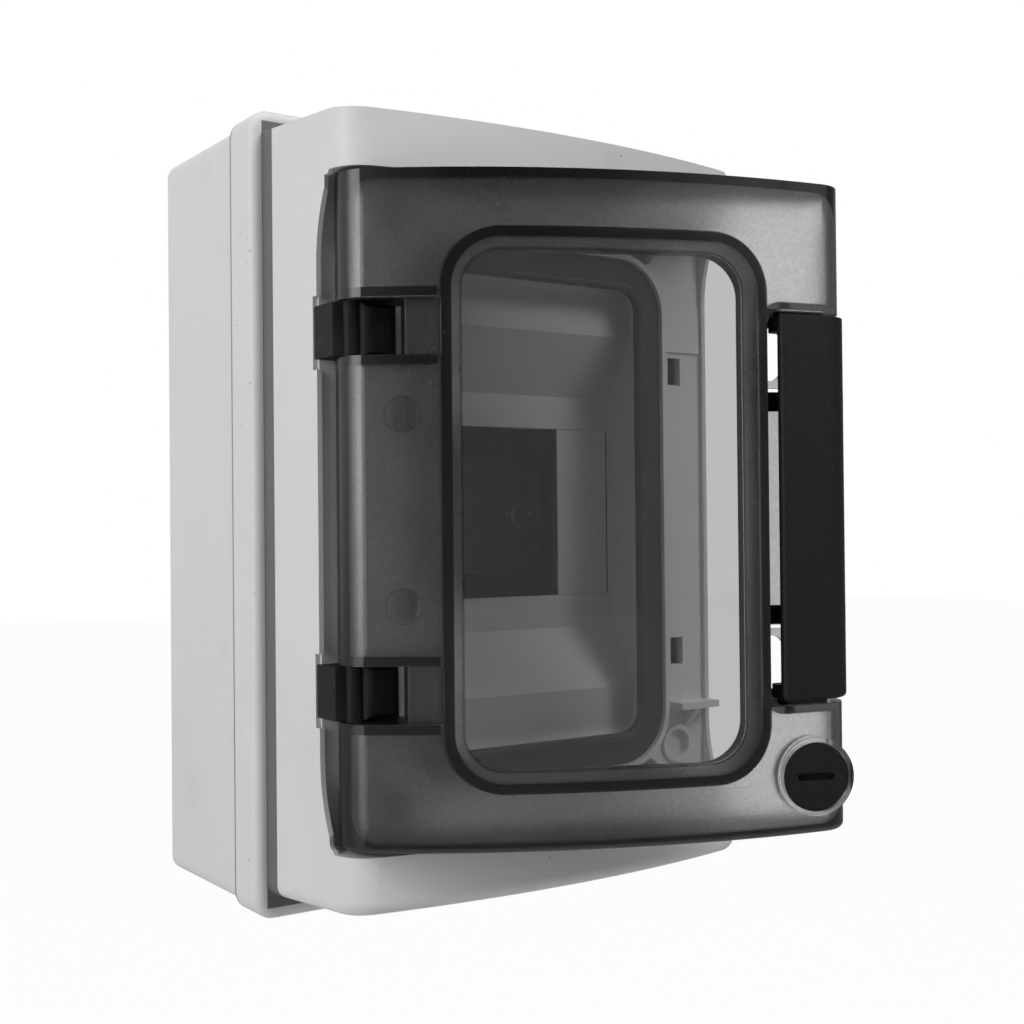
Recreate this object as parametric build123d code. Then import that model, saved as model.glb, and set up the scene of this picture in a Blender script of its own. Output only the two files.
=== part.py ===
from build123d import *
import math
import os

# Four-module weatherproof enclosure for combining photovoltaic strings.
# Millimetres. X to the right, Y into the wall, Z up.
# The origin is the centre of the back face, on the wall.
# Everything on the door is drawn with the door shut, then swung open about the hinge pins.

# ---- box ----
tub_width = 123.0
tub_height = 197.0
tub_depth = 47.0
wall = 2.6
tub_back = 2.8
tub_corner_r = 4.0
tub_back_edge_r = 2.0
seam_gap = 1.0
seal_width = 1.4
seal_groove_depth = 1.5

# ---- front cover ----
rim_proud = 1.5
rim_depth = 12.5
rim_corner_r = 5.5
rim_edge_r = 2.4
cover_step_x = 1.5
cover_step_z = 3.5
cover_draft_x = 0.5
cover_draft_z = 4.9
front_depth = 110.0
front_bow_r = 217.0
cover_corner_r = 9.0
cover_edge_r = 3.4

# ---- recess that the door shuts into ----
recess_border = 17.5
recess_floor_depth = 87.6
recess_floor_thick = 2.4
recess_side_lip = 1.6
lip_height = 1.2
lip_straight_half = 57.0
lip_rise = 6.5

# ---- sunken dish round the device cut-out ----
dish_centre_x = 2.8
dish_half_width = 35.5
dish_half_height = 61.8
dish_corner_r = 9.0
dish_wall = 2.2
ledge_depth = 82.0
ledge_cove_r = 5.5
ledge_inner_half = 47.0
panel_depth = 72.0
panel_edge_half = 31.2

# ---- device cut-out, DIN 43880 ----
modules = 4
module_pitch = 17.5
cutout_spare = 0.5
cutout_height = 45.0
cutout_right_gap = 0.25
blank_fit = 0.15
blank_thick = 1.6
blank_leg_thick = 1.4
blank_leg_length = 5.0

# ---- door seal ----
seal_overhang = 3.2
bead_out = -1.3
flat_out = 5.0
bead_height = 2.7
flat_height = 0.8
seal_frame_gap = 0.1
seal_frame_thick = 1.4
seal_frame_height = 2.1

# ---- cover screws ----
screw_span_x = 77.0
screw_span_z = 141.0
screw_well_r = 4.2
screw_well_wall = 1.4
screw_seat_depth = 62.0
screw_r = 2.0
screw_head_r = 3.5
screw_head_thick = 2.6
screw_clearance = 0.2
screw_pilot_gap = 0.05
screw_bite_length = 17.0
pillar_r = 4.6
drive_slot_width = 1.0
drive_slot_depth = 1.2

# ---- fixing to the wall ----
wall_hole_r = 2.75
wall_hole_span_x = 60.0
wall_hole_span_z = 165.0
wall_boss_r = 6.5
wall_boss_height = 3.2
knockout_radii = (11.5, 14.5)
knockout_groove = 0.8
knockout_groove_depth = 1.2
knockout_spacing = 50.0

# ---- rail, EN 60715 TH35-7.5 ----
rail_length = 104.0
rail_width = 35.0
rail_crown_width = 27.0
rail_height = 7.5
rail_sheet = 1.0
rail_seat_depth = 20.0
rail_post_x = 44.0
rail_post_r = 5.0
rail_screw_r = 2.0
rail_slot_play = 0.3
rail_screw_head_r = 3.6
rail_screw_head_thick = 2.2
rail_screw_bite = 12.0

# ---- terminal bars ----
carrier_z = 58.0
carrier_length = 92.0
carrier_height = 15.0
carrier_thick = 4.0
carrier_depth = 24.0
carrier_post_x = 43.0
carrier_post_r = 4.0
bar_length = 35.0
bar_height = 8.0
bar_thick = 7.0
bar_cradle = 1.2
bar_gap = 4.0
earth_bar_length = 72.0
bar_screw_pitch = 7.0
bar_screw_r = 1.75
bar_screw_length = 4.0
bar_screw_clearance = 0.05
bar_wire_hole_r = 2.0
carrier_screw_r = 1.5
carrier_screw_clearance = 0.2
carrier_screw_bite = 9.0
carrier_screw_head_r = 2.7
carrier_screw_head_thick = 1.8

# ---- door ----
door_gap = 1.1
door_left_gap = 0.5
door_overhang = 2.2
door_thick = 2.4
door_corner_r = 8.5
door_edge_r = 1.6
door_back_gap = 1.1
door_lip_clearance = 0.5
rib_out_x = 1.5
rib_out_z = 0.4
rib_thick = 2.2
rib_corner_r = 12.5
rib_seal_gap = 0.4
rest_open_deg = 24.9
full_open_deg = 110
swing_clearance = 0.25
swing_step_deg = 10
swing_reach = 5.0
mark_x = -44.0
mark_z = 21.4
mark_r = 4.0
mark_thick = 0.5
plate_size = (19.0, 6.4)
plate_centre = (27.3, -67.3)
plate_raise = 0.3

# ---- hinges ----
hinge_x = -54.8
hinge_depth = 96.0
hinge_z = 41.2
hinge_pin_r = 2.2
hinge_running_gap = 0.06
hinge_pocket_height = 13.0
hinge_rib_thick = 2.2
hinge_pocket_right = -42.9
hinge_plate_sink = 1.5
hinge_plate_thick = 2.2
bearing_play = 0.4
bearing_right = -43.7
bearing_front_depth = 99.4
bearing_front_r = 2.6
bearing_chamfer = 1.0
bearing_arm_front_depth = 96.6
bearing_floor_depth = 92.6
bearing_screw_x = -48.4
bearing_screw_r = 1.4
bearing_screw_head_r = 2.7
bearing_screw_head_thick = 1.6
bearing_screw_bite = 6.5
notch_play = 2.0
notch_depth = 0.7

# ---- latch ----
pocket_half_height = 46.2
pocket_wall = 2.0
pocket_corner_r = 4.0
pocket_floor_front_depth = 93.0
pocket_floor_thick = 2.0
pocket_slot_z = 37.2
pocket_slot_height = 13.0
pocket_slot_width = 8.0
pocket_slot_inset = 0.5
pocket_slot_r = 3.4
tongue_half_height = 29.0
tongue_length = 11.5
tongue_cut = 0.9
handle_left = 44.2
handle_right = 63.4
handle_half_height = 45.2
handle_thick = 2.2
handle_proud = 0.4
handle_corner_r = 8.5
handle_edge_r = 1.2
handle_skirt_depth = 95.9
handle_wrap_depth = 91.5
latch_pin_x = 46.5
latch_pin_depth = 98.6
latch_pin_r = 1.3
latch_running_gap = 0.05
latch_ear_depth = 3.5
latch_ear_wall = 1.2
hook_z = 25.5
hook_height = 4.5
hook_thick = 1.4
hook_left = 42.4
hook_leg_out = 0.3
hook_tip_depth = 82.4
barb_height = 2.0
barb_depth = 1.6
hook_notch_play = 0.5
peg_x = 52.0
peg_r = 1.2
peg_fit = 0.05
peg_boss_r = 2.6
catch_height = 1.3
catch_front_depth = 87.4
catch_depth = 3.2
catch_width = 6.4

# ---- lock plug ----
lock_x = 51.8
lock_z = -62.7
lock_front_depth = 106.0
lock_boss_r = 9.1
lock_cap_r = 8.0
lock_cap_fit = 0.06
lock_cap_sink = 0.3
lock_cap_thick = 3.0
lock_floor_front_depth = 102.7
lock_floor_thick = 2.4
lock_stem_r = 3.5
lock_stem_length = 5.2
lock_coin_slot = (9.0, 1.8)
lock_coin_slot_depth = 1.3
clip_r = 5.0
clip_thick = 1.2
clip_clearance = 0.3

# ---- moulded details on the recess floor ----
lock_well_x = 48.6
lock_well_z = -63.1
lock_well_r = 3.8
lock_well_wall = 1.2
lock_well_raise = 1.0
slot_x = 49.2
slot_z = 38.1
slot_size = (4.4, 7.4)
lug_left = 46.0
lug_right = 59.2
lug_z = -51.7
lug_thick = 1.8
lug_reach = 5.8
lug_gusset = 6.0
label_x = 51.6
label_z = 49.4
label_size = (13.0, 12.2)
label_raise = 0.4

os.makedirs("parts", exist_ok=True)


# ---- shared shapes ----
def block(x0, x1, y0, y1, z0, z1):
    """Straight block between two opposite corners."""
    size = Box(abs(x1 - x0), abs(y1 - y0), abs(z1 - z0))
    return Pos((x0 + x1) / 2, (y0 + y1) / 2, (z0 + z1) / 2) * size


def slab(outline, back_depth, front_depth_):
    """An outline in the wall's plane, carried from one depth to a greater one."""
    return extrude(Plane.XZ.offset(back_depth) * outline, amount=front_depth_ - back_depth)


def disc(x, z, radius, back_depth, front_depth_):
    """Round bar along the depth direction."""
    return slab(Pos(x, z) * Circle(radius), back_depth, front_depth_)


def upright(x, y, z0, z1, radius):
    """Round bar standing along Z."""
    return Pos(x, y, (z0 + z1) / 2) * Cylinder(radius, abs(z1 - z0))


def frame_outline(centre_x, half_x, half_z, radius):
    """Rounded rectangle in the wall's plane."""
    return Pos(centre_x, 0) * RectangleRounded(2 * half_x, 2 * half_z, radius)


def bow_depth(x, radius=front_bow_r, apex=front_depth):
    """Depth of the bowed front at a place across the box."""
    return apex - (radius - math.sqrt(radius**2 - x**2))


def bowed_plan(left, right, draft, back_depth, apex, bow_r, corner_r):
    """Plan outline with a straight back, drafted sides and a bowed front."""
    left_front = (left + draft, -bow_depth(left + draft, bow_r, apex))
    right_front = (right - draft, -bow_depth(right - draft, bow_r, apex))
    middle = (left + right) / 2
    bow = ThreePointArc(left_front, (middle, -bow_depth(middle, bow_r, apex)), right_front)
    sides = Polyline(right_front, (right, -back_depth), (left, -back_depth), left_front)
    face = make_face([*bow.edges(), *sides.edges()])
    return fillet(face.vertices().sort_by(Axis.Y)[:2], corner_r)


def bowed_block(left, right, draft_x, half_z, draft_z, back_depth, inset, corner_r, edge_r):
    """Solid with the box's bowed front, moved in all round by inset."""
    plan = bowed_plan(
        left + inset, right - inset, draft_x, back_depth, front_depth - inset, front_bow_r - inset, corner_r
    )
    body = extrude(plan, amount=half_z + 10, both=True)
    back = half_z - inset
    front = half_z - inset - draft_z
    reach = front_depth - inset
    profile = Plane.YZ * make_face(
        Polyline((-back_depth, back), (-reach, front), (-reach, -front), (-back_depth, -back), close=True)
    )
    body = body & extrude(profile, amount=right - left, both=True)
    if edge_r:
        for face in (body.faces().sort_by(Axis.Z)[-1], body.faces().sort_by(Axis.Z)[0]):
            edges = face.edges().sort_by(Axis.Y)[:-1]
            body = fillet(edges, edge_r)
    return body


def swung(shape, degrees=rest_open_deg):
    """Carries a piece of the shut door to another opening, the resting one if none is given."""
    about = Pos(hinge_x, -hinge_depth, 0)
    return about * Rot(0, 0, -degrees) * Pos(-hinge_x, hinge_depth, 0) * shape


def save(shape, node):
    """Writes one node; a list of solids goes out as a group."""
    if isinstance(shape, list):
        shape = Compound(children=[solid for piece in shape for solid in piece.solids()])
    else:
        solids = shape.solids()
        shape = solids[0] if len(solids) == 1 else Compound(children=list(solids))
    export_step(shape, f"parts/{node}.step")


# ---- places worked out from the sizes above ----
half_width = tub_width / 2
half_height = tub_height / 2
rim_back = tub_depth + seam_gap
rim_front = rim_back + rim_depth
cover_half_x = half_width - cover_step_x
cover_half_z = half_height - cover_step_z
recess_half = cover_half_z - recess_border
recess_side = cover_half_x - recess_side_lip
lip_depth = recess_floor_depth + lip_height
screw_places = [(sx * screw_span_x / 2, sz * screw_span_z / 2) for sx in (-1, 1) for sz in (-1, 1)]
wall_holes = [(sx * wall_hole_span_x / 2, sz * wall_hole_span_z / 2) for sx in (-1, 1) for sz in (-1, 1)]
cutout_width = modules * module_pitch + cutout_spare
cutout_right = dish_centre_x + dish_half_width - cutout_right_gap
cutout_left = cutout_right - cutout_width
door_left = -recess_side + door_left_gap
door_right = cover_half_x + door_overhang
door_half = recess_half - door_gap
door_back = lip_depth + door_back_gap
rib_half_x = dish_half_width + rib_out_x
rib_half_z = dish_half_height + rib_out_z
rib_back = recess_floor_depth + flat_height + rib_seal_gap
pocket_left = dish_centre_x + rib_half_x + rib_thick / 2
pocket_low = hinge_z - hinge_pocket_height / 2
pocket_high = hinge_z + hinge_pocket_height / 2


# ---- back box ----
def knockout_grooves(side):
    """Thin rings that let a cable entry be broken out of an end wall."""
    outer_face = side * half_height
    rings = []
    for x in (-knockout_spacing / 2, knockout_spacing / 2):
        for radius in knockout_radii:
            ring = Circle(radius) - Circle(radius - knockout_groove)
            start = Plane.XY.offset(outer_face - side * knockout_groove_depth)
            ring = start * Pos(x, -tub_depth / 2) * ring
            rings.append(extrude(ring, amount=side * 2 * knockout_groove_depth))
    return rings


def make_base_tub():
    outer = slab(RectangleRounded(tub_width, tub_height, tub_corner_r), 0, tub_depth)
    outer = fillet(outer.faces().sort_by(Axis.Y)[-1].edges(), tub_back_edge_r)
    inner_r = tub_corner_r - wall + 1
    hollow = RectangleRounded(tub_width - 2 * wall, tub_height - 2 * wall, inner_r)
    tub = outer - slab(hollow, tub_back, tub_depth + 1)
    for x, z in screw_places:
        tub += disc(x, z, pillar_r, 0.5, tub_depth)
    for x, z in wall_holes:
        tub += disc(x, z, wall_boss_r, 0.5, tub_back + wall_boss_height)
    for x in (-rail_post_x, rail_post_x):
        tub += disc(x, 0, rail_post_r, 0.5, rail_seat_depth)
    for x in (-carrier_post_x, carrier_post_x):
        for z in (-carrier_z, carrier_z):
            tub += disc(x, z, carrier_post_r, 0.5, carrier_depth)
            tub -= disc(x, z, carrier_screw_r, carrier_depth - carrier_screw_bite, carrier_depth + 1)
    for x, z in screw_places:
        tub -= disc(x, z, screw_r + screw_pilot_gap, tub_depth - screw_bite_length, tub_depth + 1)
    for x, z in wall_holes:
        tub -= disc(x, z, wall_hole_r, -1, tub_depth)
    for x in (-rail_post_x, rail_post_x):
        tub -= disc(x, 0, rail_screw_r, rail_seat_depth - rail_screw_bite, rail_seat_depth + 1)
    tub -= make_seal_ring(tub_depth - seal_groove_depth, tub_depth + 1)
    for side in (1, -1):
        for ring in knockout_grooves(side):
            tub -= ring
    return tub


def make_seal_ring(back, front):
    """Ring of square section along the middle of the box's front edge."""
    middle = (wall + seal_width) / 2
    outer = RectangleRounded(
        tub_width - 2 * (middle - seal_width), tub_height - 2 * (middle - seal_width), tub_corner_r - 0.5
    )
    inner = RectangleRounded(tub_width - 2 * middle, tub_height - 2 * middle, tub_corner_r - 0.5 - seal_width)
    return slab(outer, back, front) - slab(inner, back - 1, front + 1)


# ---- front cover ----
def dish(grow, mouth_depth):
    """The sunken dish; grow 0 is its inner face and dish_wall its outer face."""
    half = dish_half_width + grow
    top = dish_half_height + grow
    points = [
        (-mouth_depth, top),
        (-ledge_depth + grow, top),
        (-ledge_depth + grow, ledge_inner_half + grow / 2),
        (-panel_depth + grow, panel_edge_half + grow / 2),
    ]
    mirrored = [(y, -z) for y, z in reversed(points)]
    outline = make_face(Polyline(*points, *mirrored, close=True))
    corner_depth = -ledge_depth + grow
    coves = [v for v in outline.vertices() if abs(v.Y) > top - 0.1 and abs(v.X - corner_depth) < 0.1]
    outline = fillet(coves, ledge_cove_r)
    body = extrude(Plane.YZ * outline, amount=half, both=True)
    body = Pos(dish_centre_x, 0, 0) * body
    outline = frame_outline(dish_centre_x, half, top, dish_corner_r + grow)
    tube = slab(outline, panel_depth - 2 * grow, mouth_depth)
    return body & tube


def lip_profile(clearance):
    """Everything in front of the side lips: level along the middle, swept forward to the ends."""
    run = recess_half - lip_straight_half
    sweep_r = (run**2 + lip_rise**2) / (2 * lip_rise)
    level = -(lip_depth + clearance)
    half_run = run / 2
    mid_rise = sweep_r - math.sqrt(sweep_r**2 - half_run**2)
    edges = []
    for side in (1, -1):
        start = (level, side * lip_straight_half)
        middle = (level - mid_rise, side * (lip_straight_half + half_run))
        end = (level - lip_rise, side * recess_half)
        edges += ThreePointArc(start, middle, end).edges()
    beyond = -front_depth - 10
    edges += Line((level, -lip_straight_half), (level, lip_straight_half)).edges()
    far = Polyline((level - lip_rise, recess_half), (beyond, recess_half), (beyond, -recess_half),
                   (level - lip_rise, -recess_half))
    return Plane.YZ * make_face([*edges, *far.edges()])


def make_front_cover():
    rim_outline = RectangleRounded(tub_width + 2 * rim_proud, tub_height + 2 * rim_proud, rim_corner_r)
    rim = slab(rim_outline, rim_back, rim_front)
    rim = fillet(rim.faces().sort_by(Axis.Y)[0].edges(), rim_edge_r)
    body = bowed_block(
        -cover_half_x, cover_half_x, cover_draft_x, cover_half_z, cover_draft_z,
        rim_back, 0, cover_corner_r, cover_edge_r,
    )
    hollow = bowed_block(
        -cover_half_x, cover_half_x, cover_draft_x, cover_half_z, cover_draft_z,
        rim_back - 1, wall, cover_corner_r - wall, 0,
    )
    inside_floor = recess_floor_depth - recess_floor_thick
    behind_recess = block(
        -half_width, half_width, -inside_floor, -front_depth - 5, -recess_half - wall, recess_half + wall
    )
    hollow -= behind_recess
    hollow -= dish(dish_wall, inside_floor + 1)
    for x, z in screw_places:
        hollow -= disc(x, z, screw_well_r + screw_well_wall, rim_back, inside_floor + 1)
    cover = rim + body - hollow

    recess = slab(Rectangle(2 * recess_side, 2 * recess_half), recess_floor_depth, front_depth + 5)
    cover -= recess
    cover -= extrude(lip_profile(0), amount=tub_width, both=True)

    # The lips are eased where the door's hinged edge turns past them.
    hinged_edge = door_block(-swing_clearance, door_back, door_edge_r) & block(
        door_left - 1, hinge_x + swing_reach, -recess_floor_depth, -front_depth - 1, -recess_half, recess_half
    )
    for opened in range(full_open_deg - 4 * swing_step_deg, full_open_deg + 1, swing_step_deg):
        cover -= swung(hinged_edge, opened)

    cover -= dish(0, recess_floor_depth + 1)
    cover -= slab(
        Pos((cutout_left + cutout_right) / 2, 0) * Rectangle(cutout_width, cutout_height),
        panel_depth - dish_wall - 5, panel_depth + 1,
    )

    frame_in_x = dish_half_width + flat_out + seal_frame_gap
    frame_in_z = dish_half_height + flat_out + seal_frame_gap
    frame_in_r = dish_corner_r + flat_out + seal_frame_gap
    frame_front = recess_floor_depth + seal_frame_height
    frame = frame_outline(
        dish_centre_x, frame_in_x + seal_frame_thick, frame_in_z + seal_frame_thick,
        frame_in_r + seal_frame_thick,
    )
    frame -= frame_outline(dish_centre_x, frame_in_x, frame_in_z, frame_in_r)
    cover += slab(frame, recess_floor_depth - 0.5, frame_front)

    cover += moulded_details()
    for x, z in screw_places:
        cover -= disc(x, z, screw_well_r, screw_seat_depth, front_depth)
        cover -= disc(x, z, screw_r + screw_clearance, rim_back - 1, front_depth)
    cover -= disc(lock_well_x, lock_well_z, lock_well_r, recess_floor_depth - 1.2, front_depth)
    for side in (1, -1):
        cover -= slab(
            Pos(slot_x, side * slot_z) * Rectangle(*slot_size), inside_floor - 1, recess_floor_depth + 1
        )
        low = pocket_low - notch_play
        high = pocket_high + notch_play
        notch_back = recess_floor_depth - notch_depth
        cover -= block(
            -half_width, -recess_side, -notch_back, -front_depth, side * low, side * high
        )
        cover -= disc(
            bearing_screw_x, side * hinge_z, bearing_screw_r + screw_clearance, inside_floor - 1,
            recess_floor_depth + 1,
        )
        cover += catch_bump(side)
    return cover


def moulded_details():
    """Strike lug, ring round the lock well and the plain label plate on the recess floor."""
    floor = recess_floor_depth
    lug = block(lug_left, lug_right, -floor + 0.5, -floor - lug_reach, lug_z - lug_thick, lug_z)
    middle = (lug_left + lug_right) / 2
    under = lug_z - lug_thick
    gusset = make_face(
        Polyline((-floor + 0.5, under), (-floor - lug_reach + 0.8, under), (-floor + 0.5, under - lug_gusset),
                 close=True)
    )
    lug += Pos(middle, 0, 0) * extrude(Plane.YZ * gusset, amount=lug_thick / 2, both=True)
    lug += disc(lock_well_x, lock_well_z, lock_well_r + lock_well_wall, floor - 1.5, floor + lock_well_raise)
    lug += slab(Pos(label_x, label_z) * Rectangle(*label_size), floor - 0.5, floor + label_raise)
    return lug


def catch_bump(side):
    """Wedge on the outside of the right wall that a latch hook snaps over."""
    shrink = cover_draft_x * (catch_front_depth - rim_back) / (bow_depth(cover_half_x) - rim_back)
    face = cover_half_x - shrink
    back = catch_front_depth - catch_depth
    wedge = make_face(
        Polyline(
            (face - 1, -catch_front_depth), (face, -catch_front_depth), (face + catch_height, -back - 0.8),
            (face + catch_height, -back), (face - 1, -back), close=True,
        )
    )
    wedge = extrude(wedge, amount=catch_width / 2, both=True)
    return Pos(0, 0, side * hook_z) * wedge


def make_door_seal():
    """Rubber channel: a tall inner bead and a low flat that the door's rib presses on."""
    floor = recess_floor_depth

    def ring(inner, outer, front):
        mouth = frame_outline(
            dish_centre_x, dish_half_width + inner, dish_half_height + inner, dish_corner_r + inner
        )
        edge = frame_outline(
            dish_centre_x, dish_half_width + outer, dish_half_height + outer, dish_corner_r + outer
        )
        return slab(edge - mouth, floor, floor + front)

    bead = ring(-seal_overhang, bead_out, bead_height)
    bead_round = 0.4 * (seal_overhang + bead_out)
    bead = fillet(bead.faces().sort_by(Axis.Y)[0].edges(), bead_round)
    return bead + ring(bead_out - 0.3, flat_out, flat_height)


def make_cover_screws():
    """Four captive screws that pull the cover on to the box."""
    screws = []
    for x, z in screw_places:
        shank = disc(x, z, screw_r, tub_depth - screw_bite_length + 1, screw_seat_depth)
        head_front = screw_seat_depth + screw_head_thick
        head = disc(x, z, screw_head_r, screw_seat_depth, head_front)
        slot_back = head_front - drive_slot_depth
        head -= slab(Pos(x, z) * Rectangle(2 * screw_head_r - 1, drive_slot_width), slot_back, head_front + 1)
        head -= slab(Pos(x, z) * Rectangle(drive_slot_width, 2 * screw_head_r - 1), slot_back, head_front + 1)
        screws.append(shank + head)
    return screws


def make_blanking_plate():
    """One-module cover that closes the right-hand end of the cut-out."""
    width = module_pitch - blank_fit
    height = cutout_height - 2 * blank_fit
    right = cutout_right - blank_fit
    middle = right - width / 2
    plate = slab(Pos(middle, 0) * Rectangle(width, height), panel_depth - blank_thick, panel_depth)
    leg_back = panel_depth - blank_thick - blank_leg_length
    panel_back = panel_depth - dish_wall
    for side in (1, -1):
        edge = side * height / 2
        leg = block(
            right - 0.7 * width, right - 0.3 * width, -leg_back, -panel_depth + 0.5,
            edge, edge - side * blank_leg_thick,
        )
        tooth = block(
            right - 0.7 * width, right - 0.3 * width, -leg_back, -panel_back + 0.2,
            edge, edge + side * 0.8,
        )
        plate += leg + tooth
    return plate


# ---- rail and terminals ----
def make_din_rail():
    """Top-hat rail lying across the box with its crown on the two posts."""
    seat = rail_seat_depth
    crown = rail_crown_width / 2
    rail = block(-rail_length / 2, rail_length / 2, -seat, -seat - rail_sheet, -crown, crown)
    for side in (1, -1):
        web = block(
            -rail_length / 2, rail_length / 2, -seat, -seat - rail_height,
            side * (crown - rail_sheet), side * crown,
        )
        flange = block(
            -rail_length / 2, rail_length / 2, -seat - rail_height + rail_sheet, -seat - rail_height,
            side * (crown - rail_sheet), side * rail_width / 2,
        )
        rail += web + flange
    for x in (-rail_post_x, rail_post_x):
        hole = Pos(x, 0) * SlotOverall(4 * rail_screw_r, 2 * (rail_screw_r + rail_slot_play))
        rail -= slab(hole, seat - 1, seat + rail_sheet + 1)
    return rail


def pan_screw(x, z, seat, shank_r, bite, head_r, head_thick, grip):
    """Slotted screw whose head sits on a face at depth seat + grip."""
    shank = disc(x, z, shank_r, seat - bite + 0.5, seat + grip)
    head = disc(x, z, head_r, seat + grip, seat + grip + head_thick)
    slot = slab(
        Pos(x, z) * Rectangle(2 * head_r - 1, drive_slot_width),
        seat + grip + head_thick / 2, seat + grip + head_thick + 1,
    )
    return shank + head - slot


def make_rail_screws():
    return [
        pan_screw(x, 0, rail_seat_depth, rail_screw_r, rail_screw_bite, rail_screw_head_r,
                  rail_screw_head_thick, rail_sheet)
        for x in (-rail_post_x, rail_post_x)
    ]


def make_carrier_screws():
    return [
        pan_screw(x, z, carrier_depth, carrier_screw_r, carrier_screw_bite, carrier_screw_head_r,
                  carrier_screw_head_thick, carrier_thick)
        for x in (-carrier_post_x, carrier_post_x)
        for z in (-carrier_z, carrier_z)
    ]


def bar_places(end):
    """Left and right ends of each brass bar on the upper or lower carrier."""
    if end > 0:
        return {
            "terminal_bar_positive": (-bar_gap / 2 - bar_length, -bar_gap / 2),
            "terminal_bar_negative": (bar_gap / 2, bar_gap / 2 + bar_length),
        }
    return {"terminal_bar_earth": (-earth_bar_length / 2, earth_bar_length / 2)}


def make_carrier(end):
    """Moulded strip on two posts, with a cradle round each bar."""
    z = end * carrier_z
    front = carrier_depth + carrier_thick
    strip = slab(Pos(0, z) * RectangleRounded(carrier_length, carrier_height, 2), carrier_depth, front)
    for left, right in bar_places(end).values():
        outer = Rectangle(right - left + 2 * bar_cradle, bar_height + 2 * bar_cradle)
        inner = Rectangle(right - left, bar_height)
        rim = Pos((left + right) / 2, z) * (outer - inner)
        strip += slab(rim, front - 0.5, front + bar_thick / 2)
        for side in (1, -1):
            wire_side = z + side * (bar_height / 2 + bar_cradle / 2)
            for x in screw_line(left, right):
                strip -= block(
                    x - bar_wire_hole_r, x + bar_wire_hole_r, -front, -front - bar_thick,
                    wire_side - bar_cradle, wire_side + bar_cradle,
                )
    for x in (-carrier_post_x, carrier_post_x):
        strip -= disc(x, z, carrier_screw_r + carrier_screw_clearance, carrier_depth - 1, front + 1)
    return strip


def screw_line(left, right):
    """Evenly pitched clamping points along a bar, centred on it."""
    count = int((right - left - bar_screw_pitch / 2) // bar_screw_pitch)
    first = (left + right) / 2 - (count - 1) * bar_screw_pitch / 2
    return [first + index * bar_screw_pitch for index in range(count)]


def make_bar(end, left, right):
    """Square brass bar with a cross hole for each wire and a tapped hole over it."""
    z = end * carrier_z
    back = carrier_depth + carrier_thick
    front = back + bar_thick
    bar = block(left, right, -back, -front, z - bar_height / 2, z + bar_height / 2)
    for x in screw_line(left, right):
        cross = upright(x, -(back + bar_thick * 0.4), z - bar_height, z + bar_height, bar_wire_hole_r)
        bar -= cross
        bar -= disc(x, z, bar_screw_r + bar_screw_clearance, back + bar_thick * 0.4, front + 1)
    return bar


def make_terminal_screws():
    """One clamping screw over each wire hole."""
    screws = []
    for end in (1, -1):
        for left, right in bar_places(end).values():
            for x in screw_line(left, right):
                front = carrier_depth + carrier_thick + bar_thick + 0.6
                screw = disc(x, end * carrier_z, bar_screw_r, front - bar_screw_length, front)
                screw -= slab(Pos(x, end * carrier_z) * Rectangle(4, 0.7), front - 0.7, front + 1)
                screws.append(screw)
    return screws


# ---- hinges ----
def make_bearing(end):
    """Clip that stands on the recess floor and wraps the hinge pin from behind."""
    low = -hinge_pocket_height / 2 + bearing_play
    high = hinge_pocket_height / 2 - bearing_play
    left = -cover_half_x + 0.4
    floor = recess_floor_depth
    bore = hinge_pin_r + hinge_running_gap
    plan = make_face(
        Polyline(
            (left, -floor), (left, -bearing_arm_front_depth), (hinge_x, -bearing_arm_front_depth),
            (hinge_x, -bearing_floor_depth), (hinge_x + 1.2, -bearing_floor_depth),
            (hinge_x + 1.2, -bearing_front_depth), (bearing_right, -bearing_front_depth),
            (bearing_right, -floor), close=True,
        )
    )
    front_corners = [v for v in plan.vertices() if v.Y < -bearing_front_depth + 0.1]
    plan = fillet(front_corners, bearing_front_r)
    body = extrude(plan, amount=high - low)
    body = Pos(0, 0, end * hinge_z + low) * body
    body -= upright(hinge_x, -hinge_depth, end * hinge_z - 20, end * hinge_z + 20, bore)
    body -= block(
        hinge_x - bore * 0.6, hinge_x + bore * 0.6, -hinge_depth, -bearing_front_depth - 5,
        end * hinge_z - 20, end * hinge_z + 20,
    )
    for side in (1, -1):
        edge_z = end * hinge_z + side * high
        face_y = -bearing_front_depth
        sloped = edge_z - side * bearing_chamfer
        cut = make_face(
            Polyline(
                (face_y - 1, edge_z + side), (face_y + bearing_chamfer, edge_z + side),
                (face_y + bearing_chamfer, edge_z), (face_y, sloped), (face_y - 1, sloped), close=True,
            )
        )
        body -= extrude(Plane.YZ * cut, amount=tub_width, both=True)
    body -= disc(
        bearing_screw_x, end * hinge_z, bearing_screw_r, floor - 1, floor + bearing_screw_bite
    )
    return body


def make_bearing_screws():
    """One screw from inside the cover into each bearing."""
    screws = []
    inside = recess_floor_depth - recess_floor_thick
    tip = recess_floor_depth + bearing_screw_bite - 0.5
    head_back = inside - bearing_screw_head_thick
    for end in (1, -1):
        shank = disc(bearing_screw_x, end * hinge_z, bearing_screw_r, inside, tip)
        head = disc(bearing_screw_x, end * hinge_z, bearing_screw_head_r, head_back, inside)
        slot = slab(
            Pos(bearing_screw_x, end * hinge_z) * Rectangle(2 * bearing_screw_head_r - 1, drive_slot_width),
            head_back - 1, head_back + bearing_screw_head_thick / 2,
        )
        screws.append(shank + head - slot)
    return screws


def make_hinge_pin(end):
    """Pin held in the two door ribs above and below a bearing."""
    low = pocket_low - hinge_rib_thick
    high = pocket_high + hinge_rib_thick
    return upright(hinge_x, -hinge_depth, end * low, end * high, hinge_pin_r)


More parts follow.
